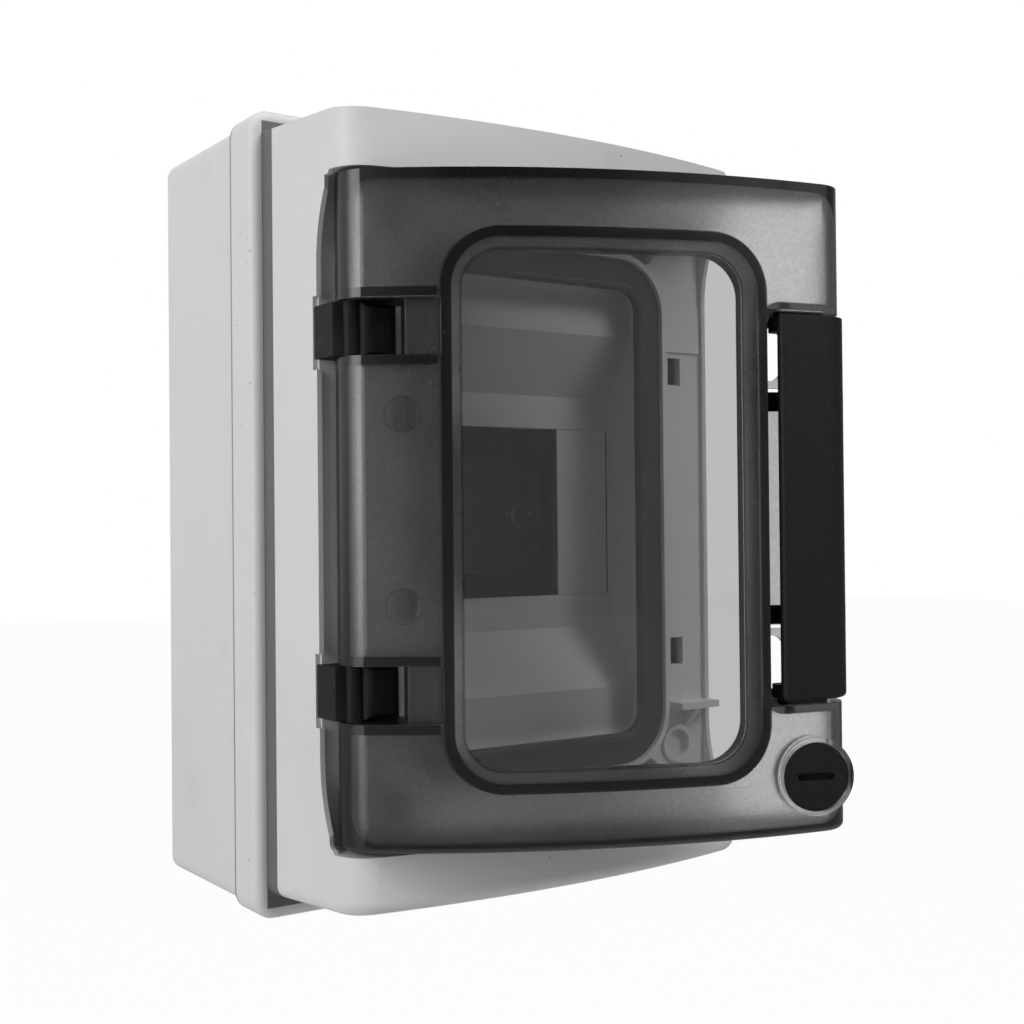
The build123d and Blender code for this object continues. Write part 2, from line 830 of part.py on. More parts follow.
# ---- door ----
def door_block(inset, back_depth, edge_r):
    return bowed_block(
        door_left, door_right, 0, door_half, 0, back_depth, inset, door_corner_r - inset, edge_r
    )


def make_door_shell():
    outer = door_block(0, door_back, door_edge_r)
    envelope = door_block(0, rib_back, door_edge_r)
    hollow = door_block(door_thick, door_back - 5, 0)
    shell = outer - hollow

    rib = frame_outline(
        dish_centre_x, rib_half_x + rib_thick / 2, rib_half_z + rib_thick / 2, rib_corner_r
    )
    rib -= frame_outline(
        dish_centre_x, rib_half_x - rib_thick / 2, rib_half_z - rib_thick / 2, rib_corner_r - rib_thick
    )
    shell += slab(rib, rib_back, front_depth) & envelope

    # Openings and walls round each hinge.
    rib_left = dish_centre_x - rib_half_x
    for side in (1, -1):
        low = side * (pocket_low - hinge_rib_thick)
        high = side * (pocket_high + hinge_rib_thick)
        walls = block(door_left, rib_left, -door_back, -front_depth, low, high) & envelope
        shell += walls
        shell -= block(
            door_left - 5, rib_left - rib_thick / 2, -door_back + 5, -front_depth - 5,
            side * pocket_low, side * pocket_high,
        )
        plate_front = bow_depth(hinge_pocket_right) - hinge_plate_sink
        shell += block(
            hinge_pocket_right, rib_left, -plate_front + hinge_plate_thick, -plate_front,
            low, high,
        )
        shell -= upright(hinge_x, -hinge_depth, low, high, hinge_pin_r)

    # Pocket that the latch handle lies in.
    far = door_right + 20
    inner = latch_pocket_outline(0, far)
    outer_walls = latch_pocket_outline(pocket_wall, far)
    floor_front = pocket_floor_front_depth
    floor_back = floor_front - pocket_floor_thick
    shell -= slab(inner, door_back - 10, front_depth + 5)
    walls = slab(outer_walls - inner, floor_back, front_depth) & envelope
    floor = slab(outer_walls, floor_back, floor_front)
    floor &= block(0, cover_half_x - 0.2, -floor_back, -floor_front, -front_depth, front_depth)
    shell += walls + (floor & envelope)
    shell -= pocket_cuts(floor_back - 1, floor_front + 1)
    for side in (1, -1):
        start = side * (pocket_half_height - 1)
        end = side * (pocket_half_height + pocket_wall)
        shell -= upright(latch_pin_x, -latch_pin_depth, start, end, latch_pin_r)

    # Boss for the lock plug.
    boss_back = lock_floor_front_depth - lock_floor_thick
    shell += disc(lock_x, lock_z, lock_boss_r, boss_back, lock_front_depth)
    shell -= disc(lock_x, lock_z, lock_cap_r + lock_cap_fit, lock_floor_front_depth, lock_front_depth + 5)
    shell -= disc(lock_x, lock_z, lock_stem_r + lock_cap_fit, boss_back - 5, lock_front_depth)
    shell -= disc(lock_x, lock_z, clip_r + clip_clearance, door_back - 5, boss_back)

    # Moulded marks.
    for side in (1, -1):
        disc_back = bow_depth(mark_x) - door_thick - mark_thick
        shell += disc(mark_x, side * mark_z, mark_r, disc_back, bow_depth(mark_x) - 1)
    plate = slab(Pos(*plate_centre) * Rectangle(*plate_size), front_depth - 6, front_depth + 5)
    raised = bowed_block(
        door_left, door_right, 0, door_half, 0, door_back, -plate_raise, door_corner_r, 0
    )
    shell += plate & (raised - hollow)

    # The right edge follows the side lip of the cover.
    lip_zone = block(
        recess_side - 0.6, door_right + 5, -recess_floor_depth, -front_depth, -door_half - 1, door_half + 1
    )
    shell -= lip_zone - extrude(lip_profile(door_lip_clearance), amount=tub_width, both=True)
    return shell


def latch_pocket_outline(grow, far):
    """Pocket outline, open past the door's right edge."""
    left = pocket_left - grow
    half = pocket_half_height + grow
    outline = Pos((left + far) / 2, 0) * Rectangle(far - left, 2 * half)
    return fillet(outline.vertices().sort_by(Axis.X)[:2], pocket_corner_r + grow)


def pocket_cuts(back, front):
    """Two finger slots and the U-shaped cut that frees the springy tongue."""
    left = pocket_left + pocket_slot_inset
    cuts = []
    for side in (1, -1):
        hole = Pos(left + pocket_slot_width / 2, side * pocket_slot_z) * RectangleRounded(
            pocket_slot_width, pocket_slot_height, pocket_slot_r
        )
        cuts.append(slab(hole, back, front))
    tongue_right = left + tongue_length
    ring = Pos((left + tongue_right) / 2, 0) * Rectangle(tongue_right - left, 2 * tongue_half_height)
    core = Pos((left + tongue_right) / 2 + tongue_cut, 0) * Rectangle(
        tongue_right - left, 2 * (tongue_half_height - tongue_cut)
    )
    cuts.append(slab(ring - core, back, front))
    return cuts


def make_lock_cap():
    """Round plug with a coin slot and a stem through the boss floor."""
    front = lock_front_depth - lock_cap_sink
    cap = disc(lock_x, lock_z, lock_cap_r, front - lock_cap_thick, front)
    cap = chamfer(cap.faces().sort_by(Axis.Y)[0].edges(), 0.4)
    cap -= slab(
        Pos(lock_x, lock_z) * RectangleRounded(*lock_coin_slot, lock_coin_slot[1] / 2 - 0.01),
        front - lock_coin_slot_depth, front + 1,
    )
    stem_back = front - lock_cap_thick - lock_stem_length
    return cap + disc(lock_x, lock_z, lock_stem_r, stem_back, front - lock_cap_thick + 0.1)


def make_lock_clip():
    """Spring ring that keeps the plug from pulling out."""
    front = lock_floor_front_depth - lock_floor_thick
    ring = disc(lock_x, lock_z, clip_r, front - clip_thick, front)
    ring -= disc(lock_x, lock_z, lock_stem_r, front - clip_thick - 1, front + 1)
    return ring - block(lock_x, lock_x + 10, -front - 1, -front + clip_thick + 1, lock_z - 1, lock_z + 1)


# ---- latch ----
def handle_block(inset, back_depth, edge_r, left_edge=handle_left):
    apex = front_depth + handle_proud - inset
    left = left_edge + inset
    right = handle_right - inset
    corner = (right, -bow_depth(right, front_bow_r, apex))
    near = (left, -bow_depth(left, front_bow_r, apex))
    middle_x = (left + right) / 2
    bow = ThreePointArc(near, (middle_x, -bow_depth(middle_x, front_bow_r, apex)), corner)
    sides = Polyline(corner, (right, -back_depth), (left, -back_depth), near)
    plan = make_face([*bow.edges(), *sides.edges()])
    corners = plan.vertices().sort_by(Axis.Y)[:2]
    plan = fillet([corners.sort_by(Axis.X)[-1]], handle_corner_r - inset)
    body = extrude(plan, amount=handle_half_height - inset, both=True)
    if edge_r:
        front_left = body.edges().filter_by(Axis.Z).group_by(Axis.X)[0].sort_by(Axis.Y)[0]
        body = fillet([front_left], edge_r)
        for face in (body.faces().sort_by(Axis.Z)[-1], body.faces().sort_by(Axis.Z)[0]):
            curved = face.edges().filter_by(lambda e: e.center().Y > -back_depth - 0.1, reverse=True)
            body = fillet(curved, edge_r)
    return body


def make_handle():
    shell = handle_block(0, handle_wrap_depth, handle_edge_r)
    open_left = handle_left - handle_thick - 5
    shell -= handle_block(handle_thick, handle_wrap_depth - 5, 0, open_left)
    inner_right = handle_right - handle_thick
    shell -= block(
        handle_left - 5, inner_right, -handle_wrap_depth + 5, -handle_skirt_depth,
        -handle_half_height - 1, handle_half_height + 1,
    )
    arm_front = handle_skirt_depth - 0.3
    for side in (1, -1):
        post = disc(peg_x, side * hook_z, peg_boss_r, arm_front, front_depth)
        shell += post & handle_block(0.5, handle_wrap_depth, 0)
        shell += disc(peg_x, side * hook_z, peg_r, arm_front - hook_thick - 0.6, arm_front + 1)
        half_notch = hook_height / 2 + hook_notch_play
        shell -= block(
            inner_right - 0.1, handle_right + 5, -handle_wrap_depth + 5, -arm_front - 0.5,
            side * hook_z - half_notch, side * hook_z + half_notch,
        )
        start = side * (handle_half_height - latch_ear_depth)
        end = side * (handle_half_height + 1)
        shell += upright(
            latch_pin_x, -latch_pin_depth, side * (handle_half_height - handle_thick), start,
            latch_pin_r + latch_ear_wall,
        )
        shell -= upright(latch_pin_x, -latch_pin_depth, start, end, latch_pin_r + latch_running_gap)
    return shell


def make_hook(side):
    """Arm behind the handle that turns round the cover's edge and ends in a barb."""
    front = handle_skirt_depth - 0.3
    back = front - hook_thick
    low = side * hook_z - hook_height / 2
    high = side * hook_z + hook_height / 2
    leg_out = handle_right + hook_leg_out
    leg_in = leg_out - hook_thick
    arm = block(hook_left, leg_out, -back, -front, low, high)
    arm += block(leg_in, leg_out, -hook_tip_depth, -front, low, high)
    barb = make_face(
        Polyline(
            (leg_in + 0.2, -hook_tip_depth), (leg_in - 0.3, -hook_tip_depth),
            (leg_in - barb_height, -hook_tip_depth - barb_depth * 0.8),
            (leg_in - barb_height, -hook_tip_depth - barb_depth),
            (leg_in + 0.2, -hook_tip_depth - barb_depth),
            close=True,
        )
    )
    arm += Pos(0, 0, low) * extrude(barb, amount=hook_height)
    return arm - disc(peg_x, side * hook_z, peg_r + peg_fit, back - 1, front + 1)


def make_latch_pin(side):
    """Short pivot pin from the pocket's end wall into the handle."""
    start = side * (handle_half_height - latch_ear_depth)
    end = side * (pocket_half_height + pocket_wall)
    return upright(latch_pin_x, -latch_pin_depth, start, end, latch_pin_r)


# ---- write every node ----
save(make_base_tub(), "base_tub")
save(make_seal_ring(tub_depth - seal_groove_depth, rim_back), "base_gasket")
save(make_front_cover(), "front_cover")
save(make_door_seal(), "door_gasket")
save(make_cover_screws(), "cover_screws")
save(make_blanking_plate(), "blanking_plate")
save(make_din_rail(), "din_rail")
save(make_rail_screws(), "rail_screws")
save(make_carrier(1), "terminal_carrier_upper")
save(make_carrier(-1), "terminal_carrier_lower")
for end in (1, -1):
    for node, (left, right) in bar_places(end).items():
        save(make_bar(end, left, right), node)
save(make_terminal_screws(), "terminal_screws")
save(make_carrier_screws(), "carrier_screws")
save(make_bearing(1), "hinge_bearing_upper")
save(make_bearing(-1), "hinge_bearing_lower")
save(make_bearing_screws(), "hinge_screws")
save(swung(make_hinge_pin(1)), "hinge_pin_upper")
save(swung(make_hinge_pin(-1)), "hinge_pin_lower")
save(swung(make_door_shell()), "door_shell")
save(swung(make_lock_cap()), "lock_cap")
save(swung(make_lock_clip()), "lock_clip")
save(swung(make_handle()), "latch_handle")
save(swung(make_hook(1)), "latch_hook_upper")
save(swung(make_hook(-1)), "latch_hook_lower")
save(swung(make_latch_pin(1)), "latch_pin_upper")
save(swung(make_latch_pin(-1)), "latch_pin_lower")
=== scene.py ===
import math

import bpy
from mathutils import Euler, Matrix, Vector


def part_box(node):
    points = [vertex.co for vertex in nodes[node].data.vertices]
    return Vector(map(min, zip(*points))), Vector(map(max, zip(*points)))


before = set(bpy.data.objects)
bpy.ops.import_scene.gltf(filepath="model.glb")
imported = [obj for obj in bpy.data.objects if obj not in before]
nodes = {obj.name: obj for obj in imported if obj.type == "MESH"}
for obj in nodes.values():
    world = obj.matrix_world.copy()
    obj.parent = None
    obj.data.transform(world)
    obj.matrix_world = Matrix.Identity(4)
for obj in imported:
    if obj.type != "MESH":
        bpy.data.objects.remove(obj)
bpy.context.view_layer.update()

# A four-module weatherproof enclosure on its own, with its door ajar. The grey shell, the smoked
# door and the latch are three bodies, and every piece is drawn from its own solid.

# ---------------------------------------------------------------- camera
# A short telephoto set level with the middle of the box and well round to its left,
# so that the whole hinge side and the window show at once.
camera_place = (-0.20772, -0.38198, -0.0039)
camera_turn = (90.6016, 0.5450, -34.5802)
film_width = 36
focal_length = 49.85
lens = bpy.data.cameras.new("camera")
lens.sensor_width = film_width
lens.lens = focal_length
camera = bpy.data.objects.new("camera", lens)
camera.location = camera_place
camera.rotation_euler = Euler([math.radians(angle) for angle in camera_turn])
bpy.context.scene.collection.objects.link(camera)
bpy.context.scene.camera = camera


# ---------------------------------------------------------------- grey moulded shell
# The tub and the front cover are injection-moulded in the same light-grey plastic, with a fine
# spark-eroded skin that is a little glossier where hands have rubbed it. Four screws and a seal
# cord join them, and the shade in the joint between the two is painted on as a dark line.
mm = 0.001


def add(tree, kind, settings=None, **values):
    """A node in a tree, with its settings and the values on its sockets."""
    made = tree.nodes.new(kind)
    for name, value in (settings or {}).items():
        setattr(made, name, value)
    for name, value in values.items():
        socket = name.replace("_", " ")
        if isinstance(value, bpy.types.NodeSocket):
            tree.links.new(value, made.inputs[socket])
        else:
            made.inputs[socket].default_value = value
    return made


def fill_in(tree, node, places, values):
    """Sockets of a node, told by their places, each linked to a value or given it."""
    for place, value in zip(places, values):
        if isinstance(value, bpy.types.NodeSocket):
            tree.links.new(value, node.inputs[place])
        else:
            node.inputs[place].default_value = value


def calc(tree, operation, *terms):
    """The result of one sum on plain numbers or sockets."""
    made = add(tree, "ShaderNodeMath", {"operation": operation})
    fill_in(tree, made, range(len(terms)), terms)
    return made.outputs[0]


def along(tree, operation, *terms):
    """One sum taken along a row of terms, such as the largest of them or their product."""
    result = terms[0]
    for term in terms[1:]:
        result = calc(tree, operation, result, term)
    return result


def blend_colour(tree, share, first, second):
    """First colour where share is 0, second where it is 1."""
    made = add(tree, "ShaderNodeMix", {"data_type": "RGBA"})
    fill_in(tree, made, (0, 6, 7), (share, first, second))
    return made.outputs[2]


def between(tree, value, low, high, out_low=0.0, out_high=1.0):
    """Value taken from one span to another, smoothly, and held at the ends."""
    made = add(tree, "ShaderNodeMapRange", {"interpolation_type": "SMOOTHSTEP"}, Value=value)
    limits = {"From Min": low, "From Max": high, "To Min": out_low, "To Max": out_high}
    for name, number in limits.items():
        made.inputs[name].default_value = number
    return made.outputs[0]


def past(tree, value, edge, soft=0.1):
    """0 short of an edge and 1 past it."""
    return between(tree, value, edge - soft, edge + soft)


def short_of(tree, value, edge, soft=0.1):
    """1 short of an edge and 0 past it."""
    return between(tree, value, edge - soft, edge + soft, 1.0, 0.0)


def band(tree, value, low, high, soft=0.12):
    """1 between low and high, with soft ends."""
    return calc(tree, "MULTIPLY", past(tree, value, low, soft), short_of(tree, value, high, soft))


def grey(level):
    """A neutral colour."""
    return (level, level, level, 1.0)


def object_place(tree):
    """The place of each spot on the piece, in metres."""
    return add(tree, "ShaderNodeTexCoord").outputs["Object"]


def in_millimetres(tree, place):
    """The three measures of a place, in millimetres."""
    scaled = add(tree, "ShaderNodeVectorMath", {"operation": "SCALE"}, Vector=place, Scale=1 / mm)
    return add(tree, "ShaderNodeSeparateXYZ", Vector=scaled.outputs[0]).outputs


def new_group(name, inputs, outputs):
    """An empty shader group with number inputs and outputs."""
    tree = bpy.data.node_groups.new(name, "ShaderNodeTree")
    for label, value in inputs.items():
        socket = tree.interface.new_socket(label, in_out="INPUT", socket_type="NodeSocketFloat")
        socket.default_value = value
    for label in outputs:
        tree.interface.new_socket(label, in_out="OUTPUT", socket_type="NodeSocketFloat")
    return tree, tree.nodes.new("NodeGroupInput").outputs, tree.nodes.new("NodeGroupOutput").inputs


def moulded_skin():
    """Spark-eroded grain, slow cloudiness from the flow of the plastic, faint rubs and specks of dust."""
    broad_to_fine = 0.38
    rub_from, rub_to = 0.52, 0.72
    speck_to_cloud = 13.0
    speck_radius = 0.055
    speck_rarity = 0.82
    tree, given, result = new_group(
        "moulded_skin", {"Grain": 3000.0, "Cloud": 22.0, "Rub": 55.0}, ("Height", "Cloud", "Rub", "Speck")
    )
    place = object_place(tree)
    fine = add(tree, "ShaderNodeTexNoise", Vector=place, Scale=given["Grain"], Detail=3.0, Roughness=0.6)
    broad_scale = calc(tree, "MULTIPLY", given["Grain"], broad_to_fine)
    broad = add(tree, "ShaderNodeTexNoise", Vector=place, Scale=broad_scale, Detail=2.0)
    tree.links.new(calc(tree, "MULTIPLY_ADD", broad.outputs[0], 0.5, fine.outputs[0]), result["Height"])
    cloud = add(tree, "ShaderNodeTexNoise", Vector=place, Scale=given["Cloud"], Detail=5.0, Distortion=0.6)
    tree.links.new(cloud.outputs[0], result["Cloud"])
    rub = add(tree, "ShaderNodeTexNoise", Vector=place, Scale=given["Rub"], Detail=9.0, Roughness=0.72)
    tree.links.new(between(tree, rub.outputs[0], rub_from, rub_to), result["Rub"])
    speck_scale = calc(tree, "MULTIPLY", given["Cloud"], speck_to_cloud)
    specks = add(tree, "ShaderNodeTexVoronoi", Vector=place, Scale=speck_scale)
    small = calc(tree, "LESS_THAN", specks.outputs["Distance"], speck_radius)
    chance = add(tree, "ShaderNodeSeparateColor", Color=specks.outputs["Color"]).outputs[0]
    few = calc(tree, "GREATER_THAN", chance, speck_rarity)
    tree.links.new(calc(tree, "MULTIPLY", small, few), result["Speck"])
    return tree


skin = moulded_skin()


def new_material(name, **values):
    """A material with one Principled shader, and its plain values."""
    material = bpy.data.materials.new(name)
    material.use_nodes = True
    tree = material.node_tree
    tree.nodes.clear()
    shader = add(tree, "ShaderNodeBsdfPrincipled", **values)
    out = add(tree, "ShaderNodeOutputMaterial")
    tree.links.new(shader.outputs[0], out.inputs["Surface"])
    return material, tree, shader, out


def with_skin(tree, grain, cloud, rub):
    """The moulded skin's outputs, placed in a material with the sizes of its own texture."""
    return add(tree, "ShaderNodeGroup", {"node_tree": skin}, Grain=grain, Cloud=cloud, Rub=rub).outputs


def bump(tree, shader, height, distance, strength):
    """A relief of that many metres on a shader."""
    made = add(tree, "ShaderNodeBump", Height=height, Distance=distance, Strength=strength)
    tree.links.new(made.outputs[0], shader.inputs["Normal"])
    return made


def moulding(name, texture, tones, roughness, relief, strength, **values):
    """A moulded material with its skin, the roughness taken from the rubs, and its cloudy tone."""
    material, tree, shader, _ = new_material(name, **values)
    skin_out = with_skin(tree, *texture)
    toned = blend_colour(tree, skin_out["Cloud"], *tones)
    tree.links.new(between(tree, skin_out["Rub"], 0.0, 1.0, *roughness), shader.inputs["Roughness"])
    bump(tree, shader, skin_out["Height"], relief * mm, strength)
    return material, tree, shader.inputs["Base Color"], skin_out, toned


def clad(material, *names):
    """Every face of these pieces takes the material."""
    for name in names:
        mesh = nodes[name].data
        mesh.materials.clear()
        mesh.materials.append(material)


shell_tones = (grey(0.60), grey(0.67))
shell_roughness = (0.46, 0.36)
shell_relief = 0.03
shell_relief_strength = 0.5
shell_plastic, tree, colour, skin_out, toned = moulding(
    "light_grey_shell", (3400.0, 16.0, 48.0), shell_tones, shell_roughness, shell_relief,
    shell_relief_strength, IOR=1.5,
)
rubbed_tone = grey(0.54)
dust_tone = grey(0.30)
worn = blend_colour(tree, calc(tree, "MULTIPLY", skin_out["Rub"], 0.35), toned, rubbed_tone)
dusted = blend_colour(tree, skin_out["Speck"], worn, dust_tone)
at = in_millimetres(tree, object_place(tree))

# Painted shade: a dark line along the joint between tub and cover, where shadow falls in the gap.
joint_depth = 48.2
joint_shadow_half_width = 0.5
joint_shadow_tone = grey(0.05)
joint_shadow_share = 0.72
off_joint = calc(tree, "ABSOLUTE", calc(tree, "ADD", at["Y"], joint_depth))
joint_shadow_line = short_of(tree, off_joint, joint_shadow_half_width, 0.15)
joint_shaded = blend_colour(tree, calc(tree, "MULTIPLY", joint_shadow_line, joint_shadow_share), dusted, joint_shadow_tone)

# Painted shade: the faces inside the box, the same light grey as outside, are painted dark where the closed
# box lies in shade.
inside_half_width = 60.0
inside_half_height = 97.0
inside_front, inside_back = -66.0, -1.0
inside_shade_tone = grey(0.12)
painted_inside_shade = along(
    tree, "MULTIPLY",
    band(tree, at["X"], -inside_half_width, inside_half_width),
    band(tree, at["Z"], -inside_half_height, inside_half_height),
    band(tree, at["Y"], inside_front, inside_back),
)
tree.links.new(blend_colour(tree, painted_inside_shade, joint_shaded, inside_shade_tone), colour)
clad(shell_plastic, "base_tub", "front_cover")

# ---------------------------------------------------------------- blanking plate
# One unused module place is closed by a snap-in plate of the same plastic; the hairline
# round it is the gap that lets it be levered out.
hairline_tone = grey(0.04)
hairline_width = 0.375
plate_low, plate_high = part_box("blanking_plate")
plate_middle = [(low + high) / 2 / mm for low, high in zip(plate_low, plate_high)]
plate_half = [(high - low) / 2 / mm for low, high in zip(plate_low, plate_high)]
plate_plastic, tree, colour, skin_out, toned = moulding(
    "light_grey_blank", (3400.0, 26.0, 70.0), shell_tones, shell_roughness, shell_relief,
    shell_relief_strength, IOR=1.5,
)
at = in_millimetres(tree, object_place(tree))


def from_edge(tree, measure, axis):
    """Distance in from the plate's nearest edge along one axis."""
    off_middle = calc(tree, "ABSOLUTE", calc(tree, "SUBTRACT", measure, plate_middle[axis]))
    return calc(tree, "SUBTRACT", plate_half[axis], off_middle)


nearest_edge = calc(tree, "MINIMUM", from_edge(tree, at["X"], 0), from_edge(tree, at["Z"], 2))
hairline = short_of(tree, nearest_edge, hairline_width, 0.125)
tree.links.new(blend_colour(tree, hairline, toned, hairline_tone), colour)
clad(plate_plastic, "blanking_plate")

# ---------------------------------------------------------------- terminal carriers
# Two carriers of a stiffer, warmer-toned plastic hold the brass terminal bars behind the cover.
# Each is screwed to posts moulded in the tub.
carrier_tones = ((0.50, 0.49, 0.45, 1.0), (0.58, 0.57, 0.53, 1.0))
carrier_plastic, tree, colour, skin_out, toned = moulding(
    "carrier_moulding", (2600.0, 40.0, 90.0), carrier_tones, (0.5, 0.4), 0.03, 0.4, IOR=1.5
)
tree.links.new(toned, colour)
clad(carrier_plastic, "terminal_carrier_upper", "terminal_carrier_lower")

# ---------------------------------------------------------------- smoked door
# The door is one smoked polycarbonate moulding on two hinge pins. Its window is polished and the
# rest has a frosted skin; its ribs and pocket walls, which look black seen end on, are painted near-black as
# shade.
# The measures are millimetres on the shut door: across, deep and up, with the front face bowed.
hinge = (-54.8 * mm, -96.0 * mm, 0.0)
ajar = math.radians(24.9)
bow_radius = 217.0
door_front = 110.0
rib_outline = (2.8, 37.0, 62.2, 12.5)
pane_outline = (1.8, 32.8, 58.4, 9.0)
door_outline = (2.15, 60.05, 76.4, 8.5)
window_tint = 0.52
frost_tint = 0.62
end_on_shade = grey(0.012)


def from_outline(tree, across, up, centre_x, half_x, half_z, corner):
    """Distance from a rounded rectangle on the shut door, less than 0 inside."""
    off_centre = calc(tree, "ABSOLUTE", calc(tree, "SUBTRACT", across, centre_x))
    out_x = calc(tree, "SUBTRACT", off_centre, half_x - corner)
    out_z = calc(tree, "SUBTRACT", calc(tree, "ABSOLUTE", up), half_z - corner)
    past_x = calc(tree, "MAXIMUM", out_x, 0.0)
    past_z = calc(tree, "MAXIMUM", out_z, 0.0)
    squares = calc(tree, "ADD", calc(tree, "POWER", past_x, 2.0), calc(tree, "POWER", past_z, 2.0))
    inside = calc(tree, "MINIMUM", calc(tree, "MAXIMUM", out_x, out_z), 0.0)
    return calc(tree, "SUBTRACT", calc(tree, "ADD", calc(tree, "SQRT", squares), inside), corner)


def from_point(tree, across, up, x, z):
    """Distance from a point on the shut door."""
    square_x = calc(tree, "POWER", calc(tree, "SUBTRACT", across, x), 2.0)
    square_z = calc(tree, "POWER", calc(tree, "SUBTRACT", up, z), 2.0)
    return calc(tree, "SQRT", calc(tree, "ADD", square_x, square_z))


smoked, tree, shader, out = new_material(
    "smoked_polycarbonate", Transmission_Weight=1.0, IOR=1.585, Specular_IOR_Level=0.36
)
shut = add(
    tree, "ShaderNodeVectorRotate", {"rotation_type": "Z_AXIS"},
    Vector=object_place(tree), Center=hinge, Angle=ajar,
)
across, deep, up = in_millimetres(tree, shut.outputs[0])
height_off = calc(tree, "ABSOLUTE", up)
bow = calc(tree, "SQRT", calc(tree, "SUBTRACT", bow_radius ** 2, calc(tree, "POWER", across, 2.0)))
behind_front = calc(tree, "ADD", calc(tree, "ADD", deep, bow), door_front - bow_radius)

# The rib round the window, the polished pane's border and the skirt round the door's edge.
rib_half_width = 1.2
skirt_width = 2.3
pane_gap = from_outline(tree, across, up, *pane_outline)
rib = band(tree, from_outline(tree, across, up, *rib_outline), -rib_half_width, rib_half_width)
frost = past(tree, pane_gap, 0.0)
pane_line = band(tree, pane_gap, -0.25, 0.25)
skirt = past(tree, from_outline(tree, across, up, *door_outline), -skirt_width, 0.2)

# The end-on walls of the two hinge pockets and of the latch pocket.
hinge_height = 41.2
hinge_wall_from, hinge_wall_to = 6.5, 8.7
hinge_pocket_side = -36.1
latch_wall_from, latch_wall_to = 39.0, 40.9
latch_end_from, latch_end_to = 44.2, 46.2
off_hinge = calc(tree, "ABSOLUTE", calc(tree, "SUBTRACT", height_off, hinge_height))
hinge_walls = calc(
    tree, "MULTIPLY",
    band(tree, off_hinge, hinge_wall_from, hinge_wall_to),
    short_of(tree, across, hinge_pocket_side),
)
latch_side_wall = calc(
    tree, "MULTIPLY",
    band(tree, across, latch_wall_from, latch_wall_to),
    short_of(tree, height_off, latch_end_to),
)
latch_end_walls = calc(
    tree, "MULTIPLY",
    band(tree, height_off, latch_end_from, latch_end_to),
    past(tree, across, latch_wall_from),
)

# What stands well behind the front face is a wall seen end on too, apart from the latch pocket's
# floor, the plates behind the hinge pockets and the boss of the lock.
wall_depth = 3.15
pocket_floor_side = 41.1
pocket_floor_top = 44.0
pocket_floor_front, pocket_floor_back = -93.3, -90.7
plate_from, plate_to = -43.0, -35.6
plate_half_height = 6.35
lock_place = (51.8, -62.7)
lock_boss_radius = 9.4
pocket_floor = along(
    tree, "MULTIPLY",
    band(tree, height_off, -1.0, pocket_floor_top),
    past(tree, across, pocket_floor_side),
    band(tree, deep, pocket_floor_front, pocket_floor_back),
)
hinge_plates = calc(
    tree, "MULTIPLY",
    band(tree, across, plate_from, plate_to),
    short_of(tree, off_hinge, plate_half_height, 0.05),
)
lock_boss = short_of(tree, from_point(tree, across, up, *lock_place), lock_boss_radius)
clear = along(tree, "MAXIMUM", pocket_floor, hinge_plates, lock_boss)
set_back = past(tree, behind_front, wall_depth, 0.15)
deep_wall = calc(tree, "MULTIPLY", set_back, calc(tree, "SUBTRACT", 1.0, clear))
# The ribs, skirt and walls seen end on are painted near-black as shade.
dark = along(tree, "MAXIMUM", rib, skirt, hinge_walls, latch_side_wall, latch_end_walls, deep_wall)

# The frosted skin's own cloudiness and pits, then the moulding's two round ejector marks, the painted
# shade of the pane's border line and of the end-on walls, and the dust, laid over one another.
pit_tone = grey(0.42)
mark_x, mark_height = -44.0, 21.4
mark_inner, mark_outer = 3.75, 4.15
mark_tone = grey(0.16)
line_share = 0.6
door_dust_tone = grey(0.75)
skin_out = with_skin(tree, 2300.0, 30.0, 70.0)
cloudy = blend_colour(tree, skin_out["Cloud"], grey(frost_tint * 0.82), grey(frost_tint))
grainy = blend_colour(tree, between(tree, skin_out["Height"], 0.62, 0.92), pit_tone, cloudy)
body = blend_colour(tree, frost, grey(window_tint), grainy)
mark = band(tree, from_point(tree, across, height_off, mark_x, mark_height), mark_inner, mark_outer)
body = blend_colour(tree, calc(tree, "MULTIPLY", mark, line_share), body, mark_tone)
body = blend_colour(tree, calc(tree, "MULTIPLY", pane_line, line_share), body, end_on_shade)
body = blend_colour(tree, dark, body, end_on_shade)
body = blend_colour(tree, skin_out["Speck"], body, door_dust_tone)
tree.links.new(body, shader.inputs["Base Color"])

frosted_roughness = between(tree, skin_out["Cloud"], 0.2, 0.8, 0.26, 0.36)
polished_roughness = between(tree, skin_out["Rub"], 0.0, 1.0, 0.015, 0.05)
frosted_part = calc(tree, "MULTIPLY", frost, frosted_roughness)
polished_part = calc(tree, "MULTIPLY", calc(tree, "SUBTRACT", 1.0, frost), polished_roughness)
tree.links.new(calc(tree, "ADD", frosted_part, polished_part), shader.inputs["Roughness"])
skin_bump = bump(tree, shader, calc(tree, "MULTIPLY", skin_out["Height"], frost), 0.06 * mm, 0.5)

